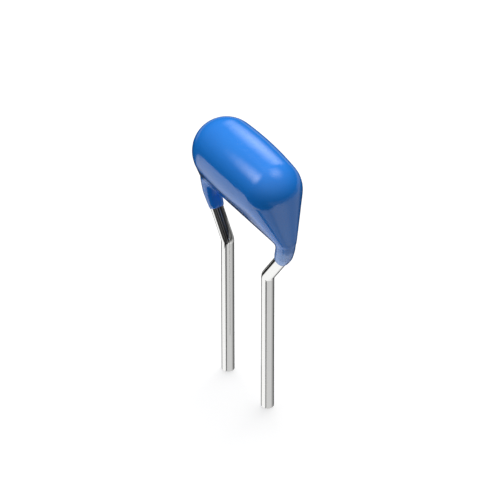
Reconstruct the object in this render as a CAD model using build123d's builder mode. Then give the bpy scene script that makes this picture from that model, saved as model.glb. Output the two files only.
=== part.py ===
"""Radial-leaded multilayer ceramic capacitor, dipped in epoxy resin.

Millimetres. The origin is midway between the leads, on the board that they stand in:
their straight legs go down from there. +X runs through both leads, +Y across the thin
way and +Z up.
"""
from build123d import *
from math import acos, asin, atan2, cos, degrees, hypot, radians, sin, tan
import os

# --- lead wires ---
wire_d = 0.48             # tinned wire
pitch = 2.54              # between the two straight legs
leg_length = 6.2          # straight leg below the board's upper face
tip_bevel = 0.03          # left by the cutter
kink_angle = 33.0         # outward lean of the crimp, from the vertical
return_angle = 15.0       # inward lean above the crimp
crimp_bulge = 0.31        # how far the crimp stands out past the wire beside the chip
bend_radius = 0.3         # centre line of every bend
wire_short = 0.35         # the wire's upper end stops this far below the chip's top

# --- ceramic block ---
ceramic_length = 3.3      # along X
ceramic_thickness = 1.15  # along Y, the way the layers are stacked
ceramic_height = 1.6      # along Z
ceramic_round = 0.06      # long edges

# --- printed electrodes ---
plates_per_end = 6
plate_thickness = 0.03
cover = 0.09              # ceramic outside the outermost plates
end_margin = 0.3          # ceramic beyond a plate's free end
side_margin = 0.2         # ceramic above and below a plate

# --- metal caps on the block's ends ---
cap_wall = 0.05
cap_band = 0.5            # how far a cap wraps along the block
cap_round = 0.08

# --- solder joints ---
solder_gap = 0.1          # between a cap's end face and its wire
solder_skin = 0.03        # solder round the back of the wire
solder_foot = 0.9         # width of the joint on the cap
solder_margin = 0.12      # ends of the joint, short of the cap's edges

# --- resin coat ---
coat_side = 0.655         # over the chip's broad faces
coat_end = 0.27           # over the wire beside the chip
coat_top = 0.567          # over the chip's top
coat_heel = 0.2           # over the crimp, along the coat's lower edge
coat_edge = 0.14          # round the wire, the thin way, along the lower edge
resin_below = 1.05        # from the coat's lower edge up to the chip
foot_rise = 0.34          # from the crimp's outermost point up to the coat's lower edge
run_down = 0.98           # how far the legs of resin follow the wires below that edge
leg_skin = 0.03           # resin on the wire where a leg ends
leg_web = 0.05            # resin on the wire's inner side, where a leg leaves the body
leg_heel = 0.27           # resin on its outer side there
leg_flank = 0.07          # resin on its front and back there
leg_sunk = 0.02           # a leg's root stays this far inside the body's end

# --- worked out: the chip, the wire's path and the coat's outline ---
wire_r = wire_d / 2
chip_length = ceramic_length + 2 * cap_wall
chip_thickness = ceramic_thickness + 2 * cap_wall
chip_height = ceramic_height + 2 * cap_wall

lean = radians(kink_angle)
leg_x = pitch / 2
wire_x = chip_length / 2 + solder_gap + wire_r
crimp_x = wire_x + crimp_bulge
crimp_z = (crimp_x - leg_x) / tan(lean)
return_z = crimp_z + crimp_bulge / tan(radians(return_angle))

foot_z = crimp_z + foot_rise
chip_bottom = foot_z + resin_below
chip_z = chip_bottom + chip_height / 2
wire_top = chip_bottom + chip_height - wire_short

roll_r = chip_thickness / 2 + coat_side
roll_x = wire_x + wire_r + coat_end - roll_r
roll_z = chip_bottom + chip_height + coat_top - roll_r
edge_r = wire_r + coat_edge
edge_x = crimp_x + wire_r + coat_heel - edge_r
edge_z = foot_z + edge_r

flank_lean = asin((roll_r - edge_r) / (roll_z - edge_z))
cone_length = hypot(edge_x - roll_x, roll_z - edge_z)
cone_angle = degrees(atan2(edge_z - roll_z, edge_x - roll_x))
touch_angle = cone_angle + degrees(acos((roll_r - edge_r) / cone_length))

leg_end_z = foot_z - run_down
leg_end_x = leg_x + leg_end_z * tan(lean)
foot_wire_x = crimp_x - foot_rise * tan(radians(return_angle))
foot_inner = foot_wire_x - wire_r - leg_web
foot_outer = foot_wire_x + wire_r + leg_heel
root_outer = edge_x + edge_r - leg_sunk

# --- ceramic block before its layers ---
with BuildPart() as ceramic_blank:
    with Locations((0, 0, chip_z)):
        Box(ceramic_length, ceramic_thickness, ceramic_height)
    fillet(ceramic_blank.edges().filter_by(Axis.X), ceramic_round)

# --- electrode plates: left and right ones take turns through the block ---
electrodes = {}
last_y = ceramic_thickness / 2 - cover - plate_thickness / 2
layer_spacing = 2 * last_y / (2 * plates_per_end - 1)
for number in range(plates_per_end):
    for side, end in (("left", -1), ("right", 1)):
        layer = 2 * number + (side == "right")
        with BuildPart() as electrode:
            with Locations((end * end_margin / 2, layer * layer_spacing - last_y, chip_z)):
                Box(ceramic_length - end_margin, plate_thickness, ceramic_height - 2 * side_margin)
        electrodes[f"electrode_{side}_{number + 1}"] = electrode

# --- fired block, closed round every plate ---
with BuildPart() as ceramic_dielectric:
    add(ceramic_blank.part)
    for electrode in electrodes.values():
        add(electrode.part, mode=Mode.SUBTRACT)

# --- metal caps: the end faces of the plates meet their inner face ---
with BuildPart() as termination_right:
    with Locations(((chip_length - cap_band) / 2, 0, chip_z)):
        Box(cap_band, chip_thickness, chip_height)
    rim = termination_right.faces().sort_by(Axis.X)[0].edges()
    fillet(termination_right.edges() - rim, cap_round)
    add(ceramic_blank.part, mode=Mode.SUBTRACT)

# --- leads: straight leg, crimp, then up beside the chip ---
with BuildPart() as lead_right:
    with BuildLine(Plane.XZ) as wire_path:
        FilletPolyline(
            (leg_x, -leg_length),
            (leg_x, 0),
            (crimp_x, crimp_z),
            (wire_x, return_z),
            (wire_x, wire_top),
            radius=bend_radius,
        )
    with BuildSketch(Plane.XY.offset(-leg_length)):
        with Locations((leg_x, 0)):
            Circle(wire_r)
    sweep(path=wire_path.wires()[0])
    chamfer(lead_right.edges().group_by(Axis.Z)[0], tip_bevel)

# --- solder: hollow-sided fillet from the cap's end face round the wire ---
with BuildPart() as solder_right:
    with BuildSketch(Plane.XY.offset(chip_bottom + solder_margin)):
        with BuildLine():
            back = CenterArc((wire_x, 0), wire_r + solder_skin, -90, 180)
            RadiusArc(back @ 0, (chip_length / 2, -solder_foot / 2), -solder_foot / 2)
            RadiusArc(back @ 1, (chip_length / 2, solder_foot / 2), solder_foot / 2)
            Line((chip_length / 2, -solder_foot / 2), (chip_length / 2, solder_foot / 2))
        make_face()
    extrude(amount=chip_height - 2 * solder_margin)
    add(lead_right.part, mode=Mode.SUBTRACT)

# --- the left-hand pieces are mirror images ---
with BuildPart() as termination_left:
    mirror(termination_right.part, about=Plane.YZ)
with BuildPart() as lead_left:
    mirror(lead_right.part, about=Plane.YZ)
with BuildPart() as solder_left:
    mirror(solder_right.part, about=Plane.YZ)

# --- resin coat: fat roll above, thin edge below, flat flanks, coned ends, two legs ---
with BuildPart() as epoxy_coating:
    # middle stretch: the roll hulled with the edge
    with BuildSketch(Plane.YZ):
        with Locations((0, roll_z)):
            Circle(roll_r)
        with Locations((0, edge_z)):
            Circle(edge_r)
        make_hull()
    extrude(amount=roll_x, both=True)

    # the edge is longer than the roll
    with BuildSketch(Plane.YZ):
        with Locations((0, edge_z)):
            Circle(edge_r)
    extrude(amount=edge_x, both=True)

    # flat flanks, which widen towards the edge
    with BuildSketch(Plane.XY.offset(edge_z - edge_r * sin(flank_lean))):
        Rectangle(2 * edge_x, 2 * edge_r * cos(flank_lean))
    with BuildSketch(Plane.XY.offset(roll_z - roll_r * sin(flank_lean))):
        Rectangle(2 * roll_x, 2 * roll_r * cos(flank_lean))
    loft(ruled=True)

    # right end: the ball that closes the roll, the one that closes the edge, and their cone
    with BuildSketch(Plane.XZ):
        with BuildLine():
            upper = CenterArc((roll_x, roll_z), roll_r, touch_angle, cone_angle + 180 - touch_angle)
            lower = CenterArc((edge_x, edge_z), edge_r, cone_angle, touch_angle - cone_angle)
            Line(lower @ 1, upper @ 0)
            Line(upper @ 1, lower @ 0)
        make_face()
    revolve(axis=Axis((roll_x, 0, roll_z), (edge_x - roll_x, 0, edge_z - roll_z)))

    # right leg: round where it ends on the wire, oval where it leaves the body
    with BuildSketch(Plane(origin=(leg_end_x, 0, leg_end_z), z_dir=(sin(lean), 0, cos(lean)))):
        Circle(wire_r + leg_skin)
    with BuildSketch(Plane.XY.offset(foot_z)):
        with Locations(((foot_inner + foot_outer) / 2, 0)):
            Ellipse((foot_outer - foot_inner) / 2, wire_r + leg_flank)
    with BuildSketch(Plane.XY.offset(edge_z)):
        with Locations(((foot_inner + root_outer) / 2, 0)):
            Ellipse((root_outer - foot_inner) / 2, wire_r + leg_flank)
    loft(ruled=True)

    mirror(about=Plane.YZ)

    # the coat touches everything that was dipped
    add(ceramic_blank.part, mode=Mode.SUBTRACT)
    for dipped in (termination_left, termination_right, solder_left, solder_right, lead_left, lead_right):
        add(dipped.part, mode=Mode.SUBTRACT)

# --- write every piece ---
pieces = {
    "epoxy_coating": epoxy_coating,
    "ceramic_dielectric": ceramic_dielectric,
    **electrodes,
    "termination_left": termination_left,
    "termination_right": termination_right,
    "solder_left": solder_left,
    "solder_right": solder_right,
    "lead_left": lead_left,
    "lead_right": lead_right,
}
os.makedirs("parts", exist_ok=True)
for name, piece in pieces.items():
    piece.part.label = name
    export_step(piece.part, f"parts/{name}.step")
    print(f"{name}: {piece.part.volume:.4f} mm3")
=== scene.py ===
import bpy
import bmesh
from math import cos, hypot, pi, radians, sin, tan
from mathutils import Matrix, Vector


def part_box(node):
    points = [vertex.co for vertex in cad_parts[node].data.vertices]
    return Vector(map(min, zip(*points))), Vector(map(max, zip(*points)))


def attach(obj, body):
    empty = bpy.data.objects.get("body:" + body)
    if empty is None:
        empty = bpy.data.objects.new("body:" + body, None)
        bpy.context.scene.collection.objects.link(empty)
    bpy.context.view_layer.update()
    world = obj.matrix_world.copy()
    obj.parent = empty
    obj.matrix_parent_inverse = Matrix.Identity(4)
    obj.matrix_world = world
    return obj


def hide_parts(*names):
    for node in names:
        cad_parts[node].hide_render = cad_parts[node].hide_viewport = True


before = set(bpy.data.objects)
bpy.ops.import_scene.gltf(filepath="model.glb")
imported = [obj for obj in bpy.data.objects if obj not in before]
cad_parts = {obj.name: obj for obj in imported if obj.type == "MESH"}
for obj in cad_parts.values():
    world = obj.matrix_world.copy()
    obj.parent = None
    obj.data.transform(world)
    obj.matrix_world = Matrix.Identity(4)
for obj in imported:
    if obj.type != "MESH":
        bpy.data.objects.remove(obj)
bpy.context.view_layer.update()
print("frame loaded:", len(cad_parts), "nodes")

# Pieces are modelled in millimetres, because edit-mode tools round off at metres,
# and brought down to metres when they are done.
mm = 0.001


def deselectAll():
    if bpy.context.object and bpy.context.object.mode != "OBJECT":
        bpy.ops.object.mode_set(mode="OBJECT")
    bpy.ops.object.select_all(action="DESELECT")


def takeUp(piece):
    deselectAll()
    piece.select_set(True)
    bpy.context.view_layer.objects.active = piece


def startEdit(piece, mode="FACE"):
    takeUp(piece)
    bpy.ops.object.mode_set(mode="EDIT")
    bpy.ops.mesh.select_mode(type=mode)
    bpy.ops.mesh.select_all(action="DESELECT")


def endEdit():
    bpy.ops.object.mode_set(mode="OBJECT")


def settle():
    # puts the place, turn and size of what is selected into its mesh
    bpy.ops.object.transform_apply(location=True, rotation=True, scale=True)


def pickEdges(piece, test):
    # selects the edges whose two ends pass the test
    shape = bmesh.from_edit_mesh(piece.data)
    for edge in shape.edges:
        edge.select_set(bool(test(edge.verts[0].co, edge.verts[1].co)))
    shape.select_flush_mode()
    bmesh.update_edit_mesh(piece.data)


def applyModifier(piece, kind, name, **settings):
    takeUp(piece)
    modifier = piece.modifiers.new(name, kind)
    for key, value in settings.items():
        setattr(modifier, key, value)
    bpy.ops.object.modifier_apply(modifier=name)


def joinPieces(pieces, name):
    deselectAll()
    for piece in pieces:
        piece.select_set(True)
    bpy.context.view_layer.objects.active = pieces[0]
    bpy.ops.object.join()
    joined = bpy.context.object
    joined.name = name
    joined.data.name = name
    settle()
    return joined


def mirrorCopy(piece, name):
    # a copy with its own mesh, mirrored across the middle plane
    takeUp(piece)
    bpy.ops.object.duplicate(linked=False)
    copy = bpy.context.object
    copy.name = name
    copy.data.name = name
    settle()
    bpy.ops.transform.resize(value=(-1, 1, 1), center_override=(0, 0, 0))
    settle()
    startEdit(copy)
    bpy.ops.mesh.select_all(action="SELECT")
    bpy.ops.mesh.normals_make_consistent(inside=False)
    endEdit()
    return copy


def bringDown(piece):
    # from millimetres to metres
    takeUp(piece)
    settle()
    bpy.ops.transform.resize(value=(mm, mm, mm), center_override=(0, 0, 0))
    settle()


def boxInMm(node):
    low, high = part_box(node)
    return low / mm, high / mm


def newMaterial(name):
    material = bpy.data.materials.new(name)
    material.use_nodes = True
    tree = material.node_tree
    shader = tree.nodes["Principled BSDF"]
    return material, tree, shader


def dress(piece, material):
    piece.data.materials.clear()
    piece.data.materials.append(material)


def addNode(tree, kind, place, **settings):
    node = tree.nodes.new(kind)
    node.location = place
    for key, value in settings.items():
        setattr(node, key, value)
    return node


def give(tree, value, socket):
    # another node's output is linked, a number, direction or colour is set
    if isinstance(value, bpy.types.NodeSocket):
        tree.links.new(value, socket)
    else:
        socket.default_value = value


def addMath(tree, kind, first, second, place, clamp=False):
    node = addNode(tree, "ShaderNodeMath", place, operation=kind, use_clamp=clamp)
    give(tree, first, node.inputs[0])
    give(tree, second, node.inputs[1])
    return node.outputs[0]


def addVector(tree, kind, first, second, place):
    node = addNode(tree, "ShaderNodeVectorMath", place, operation=kind)
    give(tree, first, node.inputs[0])
    give(tree, second, node.inputs[1])
    return node.outputs["Value" if kind == "DOT_PRODUCT" else "Vector"]


def addRange(tree, value, start, end, place, kind="SMOOTHSTEP"):
    # turns the range from start[0] to start[1] into the one from end[0] to end[1]
    node = addNode(tree, "ShaderNodeMapRange", place, interpolation_type=kind)
    node.inputs["From Min"].default_value = start[0]
    node.inputs["From Max"].default_value = start[1]
    give(tree, end[0], node.inputs["To Min"])
    give(tree, end[1], node.inputs["To Max"])
    give(tree, value, node.inputs["Value"])
    return node.outputs["Result"]


mixSockets = {"FLOAT": (2, 3, 0), "VECTOR": (4, 5, 1), "RGBA": (6, 7, 2)}    # both inputs and the output


def addMix(tree, mask, under, over, place, kind="RGBA"):
    # lays one over the other where the mask is 1; a plain shade is three numbers
    first, second, result = mixSockets[kind]
    node = addNode(tree, "ShaderNodeMix", place, data_type=kind)
    give(tree, mask, node.inputs[0])
    for number, value in ((first, under), (second, over)):
        give(tree, (*value, 1) if isinstance(value, tuple) else value, node.inputs[number])
    return node.outputs[result]


def addNoise(tree, vector, scale, detail, place):
    node = addNode(tree, "ShaderNodeTexNoise", place)
    give(tree, vector, node.inputs["Vector"])
    give(tree, scale, node.inputs["Scale"])
    node.inputs["Detail"].default_value = detail
    return node.outputs["Fac"]


def addRelief(tree, height, strength, depth, place):
    node = addNode(tree, "ShaderNodeBump", place)
    give(tree, height, node.inputs["Height"])
    give(tree, strength, node.inputs["Strength"])
    node.inputs["Distance"].default_value = depth
    return node.outputs["Normal"]


leadSizes = {
    "wireRadius": 0.24,
    "legX": 1.27,            # half of the 2.54 mm pitch
    "crimpX": 2.35,          # outermost point of the crimp
    "crimpZ": 1.663,
    "returnX": 2.04,         # beside the chip
    "returnZ": 2.820,
    "bendRadius": 0.3,       # centre line of each bend
    "sides": 48,
    "bendSteps": 10,
    "tipBevel": 0.03,
    "tipBevelSteps": 3,
    "endRing": 0.06,
    "weld": 0.0005,          # points nearer than this are merged
    "near": 0.001,           # what still counts as the tip
    "smoothAngle": radians(40),
}


def extrudeRun(run):
    # a straight run with a ring near each end, which keeps the shading straight between them
    edge = run.normalized() * leadSizes["endRing"]
    for step in (edge, run - 2 * edge, edge):
        bpy.ops.mesh.extrude_region_move(TRANSFORM_OT_translate={"value": step})


def makeLead():
    s = leadSizes
    low, high = boxInMm("lead_right")
    stops = [Vector((s["legX"], 0, low.z)), Vector((s["legX"], 0, 0)),
             Vector((s["crimpX"], 0, s["crimpZ"])), Vector((s["returnX"], 0, s["returnZ"])),
             Vector((s["returnX"], 0, high.z))]
    deselectAll()
    bpy.ops.mesh.primitive_circle_add(vertices=s["sides"], radius=s["wireRadius"], fill_type="NGON",
                                      location=stops[0])
    lead = bpy.context.object
    lead.name = "tinned_lead_right"
    settle()
    startEdit(lead)
    bpy.ops.mesh.select_all(action="SELECT")
    at = stops[0]
    for corner, after in zip(stops[1:-1], stops[2:]):
        along = (corner - at).normalized()
        onward = (after - corner).normalized()
        turn = along.angle(onward)
        reach = s["bendRadius"] * tan(turn / 2)
        side = along.cross(onward).normalized()      # bend axis
        start = corner - along * reach
        extrudeRun(start - at)
        middle = start + side.cross(along) * s["bendRadius"]
        bpy.ops.mesh.spin(steps=s["bendSteps"], angle=-turn, center=middle, axis=side, dupli=False)
        at = corner + onward * reach
    extrudeRun(stops[-1] - at)
    bpy.ops.mesh.select_all(action="SELECT")
    bpy.ops.mesh.remove_doubles(threshold=s["weld"])
    bpy.ops.mesh.normals_make_consistent(inside=False)
    # rolled-over edge that the cutter leaves on the tip
    tip = stops[0].z + s["near"]
    pickEdges(lead, lambda a, b: a.z < tip and b.z < tip)
    bpy.ops.mesh.bevel(offset=s["tipBevel"], segments=s["tipBevelSteps"], affect="EDGES")
    endEdit()
    bpy.ops.object.shade_smooth_by_angle(angle=s["smoothAngle"])
    return lead


leadRight = makeLead()
leadLeft = mirrorCopy(leadRight, "tinned_lead_left")
takeUp(leadLeft)
bpy.ops.object.shade_smooth_by_angle(angle=leadSizes["smoothAngle"])
for lead, node in ((leadRight, "lead_right"), (leadLeft, "lead_left")):
    bringDown(lead)
    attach(lead, "root")
    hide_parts(node)
print("leads made:", [len(lead.data.polygons) for lead in (leadRight, leadLeft)], "faces")


coatSizes = {
    "rollRadius": 1.2815,    # fat roll over the chip, at its fullest
    "rollEnds": (-1.316, 1.370),     # X of its end balls
    "rollBalls": 9,
    "belly": 14.3,           # radius of its slightly bellied outline along X
    "fullest": -0.288,       # where the belly is widest: the dipped skin is a little fuller on the left
    "edgeRadius": 0.38,      # thin lower edge
    "edgeX": 2.41,
    "edgeZ": 2.383,
    "ballSegments": 96,
    "legEnd": (1.934, 1.023),        # where the resin stops on the inclined wire, X and Z
    "legShort": 0.32,        # it runs that much less far down the right lead
    "legEndRadius": 0.28,
    "legLean": radians(33.0),
    # rings of the leg above its end: height, inner and outer side, half width, lean
    "legRings": ((1.600, 1.90, 2.61, 0.33, radians(14.0)),
                 (2.003, 1.969, 2.750, 0.345, 0.0),
                 (2.383, 1.969, 2.770, 0.37, 0.0)),
    "ringSides": 64,
    "skinVoxel": 0.057,
    "skinPull": 0.5,
    "skinSmoothing": 8,
    "smoothedOff": 0.003,    # what the smoothing takes off the top
}


def addRing(x, z, halfLong, halfWide, lean):
    # an oval ring of the leg, turned to stand across it
    s = coatSizes
    bpy.ops.mesh.select_all(action="DESELECT")
    bpy.ops.mesh.primitive_circle_add(vertices=s["ringSides"], radius=1.0, location=(x, 0, z))
    bpy.ops.transform.resize(value=(halfLong, halfWide, 1), center_override=(x, 0, z))
    if lean:
        bpy.ops.transform.rotate(value=-lean, orient_axis="Y", center_override=(x, 0, z))


def makeLeg(short):
    # a leg on the right: its end ring and the rings above that, bridged and capped
    s = coatSizes
    end = (s["legEnd"][0] + short * sin(s["legLean"]), 0, s["legEnd"][1] + short * cos(s["legLean"]))
    deselectAll()
    bpy.ops.mesh.primitive_circle_add(vertices=s["ringSides"], radius=s["legEndRadius"], location=end,
                                      rotation=(0, s["legLean"], 0))
    leg = bpy.context.object
    settle()
    startEdit(leg, "EDGE")
    for z, inner, outer, halfWide, lean in s["legRings"]:
        addRing((inner + outer) / 2, z, (outer - inner) / 2, halfWide, lean)
    bpy.ops.mesh.select_all(action="SELECT")
    bpy.ops.mesh.bridge_edge_loops()
    bpy.ops.mesh.select_all(action="SELECT")
    bpy.ops.mesh.region_to_loop()
    bpy.ops.mesh.edge_face_add()
    endEdit()
    return leg


def makeCoat():
    s = coatSizes
    top = boxInMm("epoxy_coating")[1].z
    first, last = s["rollEnds"]
    rollZ = top - s["rollRadius"] + s["smoothedOff"]
    places = []
    for number in range(s["rollBalls"]):
        x = first + (last - first) * number / (s["rollBalls"] - 1)
        places.append((x, rollZ, s["rollRadius"] - (x - s["fullest"]) ** 2 / (2 * s["belly"])))
    places += [(end * s["edgeX"], s["edgeZ"], s["edgeRadius"]) for end in (-1, 1)]
    balls = []
    for x, z, radius in places:
        bpy.ops.mesh.primitive_uv_sphere_add(segments=s["ballSegments"], ring_count=s["ballSegments"] // 2,
                                             radius=radius, location=(x, 0, z))
        balls.append(bpy.context.object)
    body = joinPieces(balls, "resin_coat")
    startEdit(body, "VERT")
    bpy.ops.mesh.select_all(action="SELECT")
    bpy.ops.mesh.convex_hull(join_triangles=False)
    endEdit()

    legRight = makeLeg(s["legShort"])
    legWhole = makeLeg(0.0)
    legLeft = mirrorCopy(legWhole, "leg_left")
    takeUp(legWhole)
    bpy.ops.object.delete()
    coat = joinPieces([body, legRight, legLeft], "resin_coat")

    # one even skin over the body and both legs, with soft inner corners where they meet
    applyModifier(coat, "REMESH", "evenSkin", mode="VOXEL", voxel_size=s["skinVoxel"], use_smooth_shade=True)
    applyModifier(coat, "SMOOTH", "surfaceTension", factor=s["skinPull"], iterations=s["skinSmoothing"])
    applyModifier(coat, "SUBSURF", "fineSkin", levels=1, render_levels=1)
    takeUp(coat)
    bpy.ops.object.shade_smooth()
    bringDown(coat)
    return coat


resinCoat = makeCoat()
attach(resinCoat, "root")
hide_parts("epoxy_coating")
print("coat made:", len(resinCoat.data.polygons), "faces")


# resin: deep glossy blue with a faint drift of pigment, a slow unevenness of the dipped skin, and a painted
# reflection of the pale ground on the right leg's front
resinLook = {
    "deep": (0.004, 0.218, 0.84),
    "clear": (0.006, 0.262, 0.92),
    "driftScale": 900,
    "driftDetail": 3,
    "thin": (0.20, 0.44, 1.0),       # painted reflection of the pale ground: paler on the right leg's front
    "thinning": (0.0024, 0.0017),    # heights at which the painted reflection starts and is full
    "across": (0.573, 0.820, -0.372),        # direction from that front over the leg's rib
    "front": (0.00012, 0.00006),     # how far that way past the wire's middle it ends and is still full
    "roughness": (0.09, 0.15),
    "grainScale": 3500,
    "grainDetail": 2,
    "waveScale": 700,
    "waveDetail": 1,
    "waveStrength": 0.25,
    "waveDepth": 0.00001,
    "ior": 1.75,
}


def makeResin():
    s = resinLook
    material, tree, shader = newMaterial("blueResin")
    link = tree.links.new
    coords = addNode(tree, "ShaderNodeTexCoord", (-1200, 0)).outputs["Object"]
    drift = addNoise(tree, coords, s["driftScale"], s["driftDetail"], (-900, 200))
    pigment = addMix(tree, drift, s["deep"], s["clear"], (-500, 200))

    # painted reflection of the pale ground, low on the front of the right leg
    parts = addNode(tree, "ShaderNodeSeparateXYZ", (-900, 500))
    link(coords, parts.inputs[0])
    middle = s["across"][0] * leadSizes["legX"] * mm
    start = [middle + past for past in s["front"]]
    sideways = addVector(tree, "DOT_PRODUCT", coords, s["across"], (-900, 900))
    front = addRange(tree, sideways, start, (0, 1), (-700, 900))
    right = addMath(tree, "GREATER_THAN", parts.outputs["X"], 0, (-700, 700))
    rightFront = addMath(tree, "MULTIPLY", front, right, (-500, 700))
    lower = addRange(tree, parts.outputs["Z"], s["thinning"], (0, 1), (-700, 500))
    thinned = addMath(tree, "MULTIPLY", lower, rightFront, (-300, 500))
    link(addMix(tree, thinned, pigment, s["thin"], (-300, 200)), shader.inputs["Base Color"])

    grain = addNoise(tree, coords, s["grainScale"], s["grainDetail"], (-900, -100))
    shine = addRange(tree, grain, (0, 1), s["roughness"], (-500, -100), "LINEAR")
    link(shine, shader.inputs["Roughness"])
    waves = addNoise(tree, coords, s["waveScale"], s["waveDetail"], (-900, -400))
    relief = addRelief(tree, waves, s["waveStrength"], s["waveDepth"], (-500, -400))
    link(relief, shader.inputs["Normal"])
    shader.inputs["IOR"].default_value = s["ior"]
    return material


dress(resinCoat, makeResin())


# bright tinned wire: streaks from the drawing die run along it, the left lead's inclined part is painted
# near black with paler lines through it, and the cut tips show the copper core
wireLook = {
    "tin": (0.87, 0.87, 0.86),
    "roughness": (0.05, 0.11),
    "lean": radians(33.0),
    "streakScale": 24000,
    "streakDetail": 2,
    "streakSquash": 0.012,   # of the pattern along the wire, which draws the streaks out
    "streakStrength": 0.12,
    "streakDepth": 0.000002,
    # near-black colour painted on the left lead's inclined part, and the paler colour of the lines through
    # it
    "darkPatch": (0.035, 0.034, 0.036),
    "patchLineShade": (0.46, 0.46, 0.46),
    "patchLines": (0.44, 0.62),       # streak values at which the paler lines through the dark patch start and are full
    "dullness": 0.42,        # roughness of the dark patch
    "across": (0.573, 0.820, 0),     # direction across the straight wire, towards the dark patch
    "acrossLean": (0.451, 0.893, 0),         # and across the inclined wire, once that is turned upright
    "wrap": 0.00004,         # how much further round it reaches below the bend
    "bright": -0.00010,      # where across the inclined wire its bright side ends
    "patchFrom": -0.00010,         # height at which it starts, how much higher per sideways metre
    "slant": 3.6,
    "fray": 0.0003,          # fraying of its lower edge, and the share of that which its side edge has
    "frayShare": 0.15,
    "frayScale": 9000,
    "lowerEdge": 12000,      # sharpness of both edges
    "sideEdge": 30000,
    "copper": (0.72, 0.36, 0.22),
    "coreRadius": 0.00020,
    "cutDepth": 0.00001,     # how far up the tip counts as its cut face
}


def makeWire():
    s = wireLook
    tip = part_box("lead_right")[0].z
    legX = leadSizes["legX"] * mm
    material, tree, shader = newMaterial("tinnedWire")
    link = tree.links.new
    coords = addNode(tree, "ShaderNodeTexCoord", (-1400, 0)).outputs["Object"]
    parts = addNode(tree, "ShaderNodeSeparateXYZ", (-1200, 400))
    link(coords, parts.inputs[0])
    x, y, z = parts.outputs

    def math(kind, first, second=0.0, clamp=False):
        return addMath(tree, kind, first, second, (-800, 600), clamp)

    # streaks follow the wire: both leads fold onto one, whose inclined part is turned upright
    folded = addNode(tree, "ShaderNodeCombineXYZ", (-1200, 100))
    link(math("MULTIPLY", math("ABSOLUTE", x), -1), folded.inputs["X"])
    link(y, folded.inputs["Y"])
    link(z, folded.inputs["Z"])
    upright = addNode(tree, "ShaderNodeMapping", (-1100, 0))
    upright.inputs["Rotation"].default_value = (0, s["lean"], 0)
    link(folded.outputs["Vector"], upright.inputs["Vector"])
    turned = upright.outputs["Vector"]
    aboveBend = math("GREATER_THAN", z, 0)
    leaning = addMix(tree, aboveBend, folded.outputs["Vector"], turned, (-1000, 0), "VECTOR")
    along = addVector(tree, "MULTIPLY", leaning, (1, 1, s["streakSquash"]), (-900, 0))
    streaks = addNoise(tree, along, s["streakScale"], s["streakDetail"], (-700, 0))
    shine = addRange(tree, streaks, (0, 1), s["roughness"], (-500, 0), "LINEAR")
    relief = addRelief(tree, streaks, s["streakStrength"], s["streakDepth"], (-500, -300))
    link(relief, shader.inputs["Normal"])

    # dark patch painted on the left lead only, from the bend up, with frayed edges and paler lines through
    # it
    patches = addNoise(tree, along, s["frayScale"], s["streakDetail"], (-1000, -300))
    frayed = math("MULTIPLY", math("SUBTRACT", patches, 0.5), s["fray"])
    straight = addVector(tree, "DOT_PRODUCT", coords, s["across"], (-1200, 700))
    straight = math("ADD", straight, s["across"][0] * legX)
    inclined = addVector(tree, "DOT_PRODUCT", turned, s["acrossLean"], (-1200, 900))
    inclined = math("ADD", inclined, s["acrossLean"][0] * legX * cos(s["lean"]))
    side = addMix(tree, aboveBend, math("ADD", straight, s["wrap"]), inclined, (-1000, 800), "FLOAT")
    start = math("ADD", math("MULTIPLY", side, s["slant"]), s["patchFrom"])
    height = math("SUBTRACT", math("ADD", z, frayed), start)
    ragged = math("ADD", math("SUBTRACT", side, s["bright"]), math("MULTIPLY", frayed, s["frayShare"]))
    covered = math("MULTIPLY", math("MULTIPLY", height, s["lowerEdge"], clamp=True),
                   math("MULTIPLY", ragged, s["sideEdge"], clamp=True))
    dark = math("MULTIPLY", covered, math("LESS_THAN", x, 0))
    link(addMix(tree, dark, shine, s["dullness"], (-300, 0), "FLOAT"), shader.inputs["Roughness"])
    lines = addRange(tree, streaks, s["patchLines"], (0, 1), (-700, -300))
    patchShade = addMix(tree, lines, s["darkPatch"], s["patchLineShade"], (-500, 500))
    skin = addMix(tree, dark, s["tin"], patchShade, (-300, 500))

    # copper core in the middle of each cut tip
    off = math("SUBTRACT", math("ABSOLUTE", x), legX)
    away = math("SQRT", math("ADD", math("MULTIPLY", off, off), math("MULTIPLY", y, y)))
    core = math("MULTIPLY", math("LESS_THAN", away, s["coreRadius"]),
                math("LESS_THAN", z, tip + s["cutDepth"]))
    link(addMix(tree, core, skin, s["copper"], (-300, 300)), shader.inputs["Base Color"])
    shader.inputs["Metallic"].default_value = 1.0
    return material


wireMaterial = makeWire()
dress(leadRight, wireMaterial)
dress(leadLeft, wireMaterial)


# grain shared by the finishes inside the coat: a mask, the roughness and the relief that go with it
grainLook = {"detail": 4, "depth": 0.000004, "contrast": (0.35, 0.65)}


def makeGrain():
    s = grainLook
    group = bpy.data.node_groups.new("fineGrain", "ShaderNodeTree")
    for name in ("Scale", "Smoothest", "Roughest", "Relief"):
        group.interface.new_socket(name, in_out="INPUT", socket_type="NodeSocketFloat")
    group.interface.new_socket("Stretch", in_out="INPUT", socket_type="NodeSocketVector")
    group.interface.new_socket("Mask", in_out="OUTPUT", socket_type="NodeSocketFloat")
    group.interface.new_socket("Roughness", in_out="OUTPUT", socket_type="NodeSocketFloat")
    group.interface.new_socket("Normal", in_out="OUTPUT", socket_type="NodeSocketVector")
    given = addNode(group, "NodeGroupInput", (-900, 0)).outputs
    put = addNode(group, "NodeGroupOutput", (500, 0)).inputs
    coords = addNode(group, "ShaderNodeTexCoord", (-900, 300)).outputs["Object"]
    stretched = addVector(group, "MULTIPLY", coords, given["Stretch"], (-650, 200))
    noise = addNoise(group, stretched, given["Scale"], s["detail"], (-400, 200))
    spread = addRange(group, noise, (0, 1), (given["Smoothest"], given["Roughest"]), (0, 0), "LINEAR")
    relief = addRelief(group, noise, given["Relief"], s["depth"], (0, -300))
    give(group, noise, put["Mask"])
    give(group, spread, put["Roughness"])
    give(group, relief, put["Normal"])
    return group


fineGrain = makeGrain()

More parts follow.
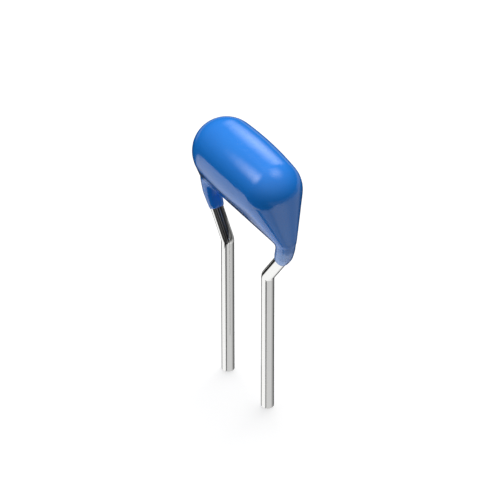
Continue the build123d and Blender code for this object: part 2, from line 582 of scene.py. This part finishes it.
# finishes of the parts inside the coat: two shades, metallic, grain scale and stretch, roughness, relief
ceramicLook = {"low": (0.34, 0.26, 0.17), "high": (0.56, 0.46, 0.33), "metallic": 0.0, "scale": 14000,
               "stretch": (1, 1, 1), "roughness": (0.60, 0.82), "relief": 0.35}
nickelLook = {"low": (0.40, 0.39, 0.36), "high": (0.60, 0.59, 0.54), "metallic": 1.0, "scale": 20000,
              "stretch": (0.15, 1, 1), "roughness": (0.34, 0.62), "relief": 0.25}
capLook = {"low": (0.62, 0.61, 0.59), "high": (0.78, 0.77, 0.75), "metallic": 1.0, "scale": 12000,
           "stretch": (1, 1, 1), "roughness": (0.36, 0.54), "relief": 0.20}
solderLook = {"low": (0.56, 0.56, 0.57), "high": (0.74, 0.74, 0.74), "metallic": 1.0, "scale": 3500,
              "stretch": (1, 1, 0.5), "roughness": (0.18, 0.44), "relief": 0.60}


def makeFinish(name, s):
    material, tree, shader = newMaterial(name)
    link = tree.links.new
    grain = addNode(tree, "ShaderNodeGroup", (-600, 0), node_tree=fineGrain)
    grain.inputs["Scale"].default_value = s["scale"]
    grain.inputs["Stretch"].default_value = s["stretch"]
    grain.inputs["Smoothest"].default_value = s["roughness"][0]
    grain.inputs["Roughest"].default_value = s["roughness"][1]
    grain.inputs["Relief"].default_value = s["relief"]
    contrast = addRange(tree, grain.outputs["Mask"], grainLook["contrast"], (0, 1), (-450, 300), "LINEAR")
    link(addMix(tree, contrast, s["low"], s["high"], (-300, 200)), shader.inputs["Base Color"])
    link(grain.outputs["Roughness"], shader.inputs["Roughness"])
    link(grain.outputs["Normal"], shader.inputs["Normal"])
    shader.inputs["Metallic"].default_value = s["metallic"]
    return material


# each finish goes on the parts whose names start so
finishes = {
    "ceramic": makeFinish("firedCeramic", ceramicLook),
    "electrode": makeFinish("nickelPrint", nickelLook),
    "termination": makeFinish("capTin", capLook),
    "solder": makeFinish("jointSolder", solderLook),
}
for name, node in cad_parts.items():
    if name.split("_")[0] in finishes:
        dress(node, finishes[name.split("_")[0]])
print("materials made")


# floor under the lead tips: pale, and white to the camera except for the shadow
floorSizes = {"side": 0.6, "glow": 0.60, "paint": 0.5}


def makeFloor():
    s = floorSizes
    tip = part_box("lead_right")[0].z
    deselectAll()
    bpy.ops.mesh.primitive_plane_add(size=s["side"], location=(0, 0, tip))
    floor = bpy.context.object
    floor.name = "floor"
    material, tree, shader = newMaterial("paleFloor")
    link = tree.links.new
    shader.inputs["Base Color"].default_value = (s["paint"], s["paint"], s["paint"], 1)
    shader.inputs["Roughness"].default_value = 1.0
    shader.inputs["Specular IOR Level"].default_value = 0.0
    ray = addNode(tree, "ShaderNodeLightPath", (-400, 300))
    share = addMath(tree, "MULTIPLY", ray.outputs["Is Camera Ray"], s["glow"], (-200, 300))
    glow = addNode(tree, "ShaderNodeEmission", (0, 300))
    link(share, glow.inputs["Strength"])
    both = addNode(tree, "ShaderNodeAddShader", (300, 200))
    link(shader.outputs["BSDF"], both.inputs[0])
    link(glow.outputs["Emission"], both.inputs[1])
    link(both.outputs["Shader"], tree.nodes["Material Output"].inputs["Surface"])
    dress(floor, material)
    floor.visible_glossy = False
    floor.visible_diffuse = False


makeFloor()


# studio: white to the camera, an even soft light, and for gloss a dark room with pale ground cards and lamps
studio = {
    # height as a sine, from straight down to straight up, and the brightness there
    "even": ((-1, 0.22), (-0.1, 0.22), (0.1, 0.24), (1, 0.30)),
    "room": ((-1, 0.04), (-0.1, 0.05), (0.25, 0.16), (0.75, 0.42), (1, 0.5)),
    "bounce": 3.2,           # what the white card throws back up
    # Cards on the ground, each laid over those before: name, brightness and edges. An edge is the x, y and z
    # of a direction, an offset and a softness, and the card is what lies on the inner side of all its edges.
    "cards": (
        ("dark", 0.03, ((0, 0, -1, 0.225, 0.03),)),
        ("back", 0.36, ((0, 0, -1, 0.10, 0.04), (0, 0, 1, -0.37, 0.04), (-0.94, 0.342, 0, 0, 0.08),
                        (-0.174, 0.985, 0, 0, 0.08))),
        ("right", 0.22, ((0, 0, -1, 0.12, 0.04), (0, 0, 1, -0.40, 0.04), (0.966, 0.259, 0, 0.60, 0.15))),
        ("side", 0.50, ((0, 0, -1, 0.30, 0.05), (0, 0, 1, -0.60, 0.03), (-0.12, 1, -0.98, 0, 0.06),
                        (0.985, -0.174, 0, -0.10, 0.25))),
        ("pale", 0.90, ((0, 0, -1, 0.36, 0.08), (0, 0, 1, -0.60, 0.03), (-0.12, 1, -0.98, 0, 0.06),
                        (0, -1, -0.90, 0, 0.25), (1, 0, 0, 0, 0.10))),
        ("grey", 0.67, ((0, 0, -1, 0.60, 0.02), (0, 1, -0.97, 0, 0.04), (0, -1, -1.02, 0, 0.25),
                        (0.985, -0.174, 0, -0.10, 0.25))),
        ("white", 1.06, ((0, 0, -1, 0.26, 0.03), (-1, 0, -0.40, 0, 0.03), (-0.80, 1, -1.39, 0, 0.03),
                         (0.60, -1, -0.50, 0, 0.30), (1.40, -1, -1.23, 0, 0.05))),
        ("notch", 0.04, ((1, 0, 0.05, 0, 0.02), (-1, 0, -0.34, 0, 0.12), (0, -1, 0.66, 0, 0.02),
                         (0, 1, -1.00, 0, 0.03))),
        ("rim", 0.01, ((-1, 0, 1.50, 0, 0.04), (0, 1, -0.60, 0, 0.05), (0, 0, -1, 0.30, 0.05))),
    ),
    # soft lamps seen in the gloss: turn and rise in degrees, reach, narrowing along X, brightness
    "glows": ((133, 31, 0.52, 2.0, 2.35), (237, 48, 0.44, 1.3, 2.9), (82, 69, 0.50, 1.0, 1.5)),
}


def towards(turn, rise):
    # direction for a turn round Z and a rise above the ground, both in degrees
    turn, rise = radians(turn), radians(rise)
    return Vector((cos(turn) * cos(rise), sin(turn) * cos(rise), sin(rise)))


def makeStudio():
    s = studio
    world = bpy.data.worlds.new("studio")
    bpy.context.scene.world = world
    world.use_nodes = True
    tree = world.node_tree
    way = addNode(tree, "ShaderNodeTexCoord", (-1600, 0)).outputs["Generated"]
    parts = addNode(tree, "ShaderNodeSeparateXYZ", (-1400, 0))
    tree.links.new(way, parts.inputs[0])

    def ramp(stops, place):
        spread = addRange(tree, parts.outputs["Z"], (-1, 1), (0, 1), (place[0] - 200, place[1]), "LINEAR")
        node = addNode(tree, "ShaderNodeValToRGB", place)
        tree.links.new(spread, node.inputs["Fac"])
        bar = node.color_ramp
        while len(bar.elements) < len(stops):
            bar.elements.new(0.5)
        for element, (height, shade) in zip(bar.elements, stops):
            element.position = (height + 1) / 2
            element.color = (shade, shade, shade, 1)
        return node.outputs["Color"]

    def inside(edges, left):
        # 1 on the inner side of every edge, 0 outside
        mask = None
        for number, (x, y, z, offset, soft) in enumerate(edges):
            down = -180 * number
            size = hypot(x, y, z)
            across = addVector(tree, "DOT_PRODUCT", way, (x / size, y / size, z / size), (left, down))
            step = addRange(tree, across, (offset - soft, offset + soft), (0, 1), (left + 200, down))
            mask = step if mask is None else addMath(tree, "MULTIPLY", mask, step, (left + 400, down))
        return mask

    even = ramp(s["even"], (-900, 500))
    total = ramp(s["room"], (-900, 200))
    for number, (name, shade, edges) in enumerate(s["cards"]):
        card = inside(edges, -2400 - 700 * number)
        total = addMix(tree, card, total, (shade, shade, shade), (-700 + 20 * number, 100))
        if name == "white":
            even = addMix(tree, card, even, (s["bounce"], s["bounce"], s["bounce"]), (-600, 500))
    for number, (turn, rise, reach, narrow, bright) in enumerate(s["glows"]):
        down = -1800 - 200 * number
        apart = addVector(tree, "SUBTRACT", way, towards(turn, rise), (-1600, down))
        narrowed = addVector(tree, "MULTIPLY", apart, (narrow, 1, 1), (-1400, down))
        distance = addNode(tree, "ShaderNodeVectorMath", (-1200, down), operation="LENGTH")
        tree.links.new(narrowed, distance.inputs[0])
        glow = addRange(tree, distance.outputs["Value"], (0, reach), (bright, 0), (-1000, down))
        total = addVector(tree, "ADD", total, glow, (-800, down))

    ray = addNode(tree, "ShaderNodeLightPath", (-600, 800)).outputs
    mirrored = addMath(tree, "MAXIMUM", ray["Is Glossy Ray"], ray["Is Transmission Ray"], (-400, 700))
    lit = addMix(tree, mirrored, even, total, (-200, 400))
    seen = addMix(tree, ray["Is Camera Ray"], lit, (1, 1, 1), (0, 400))
    tree.links.new(seen, tree.nodes["Background"].inputs["Color"])


makeStudio()

# lamp: direction round the part in degrees, distance, side and height of aim in metres, brightness as seen
keyLamp = {"turn": 140, "rise": 75, "away": 0.20, "side": 0.16, "aimZ": 0.0035, "bright": 4.9}


def makeLamp():
    s = keyLamp
    back = towards(s["turn"], s["rise"])
    light = bpy.data.lights.new("keyLamp", "AREA")
    light.shape = "RECTANGLE"
    light.size = s["side"]
    light.size_y = s["side"]
    light.energy = s["bright"] * pi * s["side"] * s["side"]
    lamp = bpy.data.objects.new("keyLamp", light)
    bpy.context.scene.collection.objects.link(lamp)
    lamp.location = Vector((0, 0, s["aimZ"])) + back * s["away"]
    lamp.rotation_euler = back.to_track_quat("Z", "Y").to_euler()
    lamp.visible_glossy = False


makeLamp()

# camera: above and to the right of the front, far off, so that the part is nearly undistorted; its turn is
# counted from the front, and it aims at a point in millimetres
view = {"turn": 55.0707, "rise": 39.3834, "away": 0.18, "lens": 358.75, "sensor": 36,
        "clip": (0.01, 5), "aim": (0.1730, -0.01515, 0.4465)}


def makeCamera():
    s = view
    turn, rise = radians(s["turn"]), radians(s["rise"])
    back = Vector((sin(turn) * cos(rise), -cos(turn) * cos(rise), sin(rise)))
    lens = bpy.data.cameras.new("camera")
    lens.lens = s["lens"]
    lens.sensor_width = s["sensor"]
    lens.clip_start, lens.clip_end = s["clip"]
    camera = bpy.data.objects.new("camera", lens)
    bpy.context.scene.collection.objects.link(camera)
    camera.location = Vector(s["aim"]) * mm + back * s["away"]
    camera.rotation_euler = back.to_track_quat("Z", "Y").to_euler()
    bpy.context.scene.camera = camera


makeCamera()
bpy.context.scene.view_settings.view_transform = "Standard"
print("studio made")

bpy.context.view_layer.update()
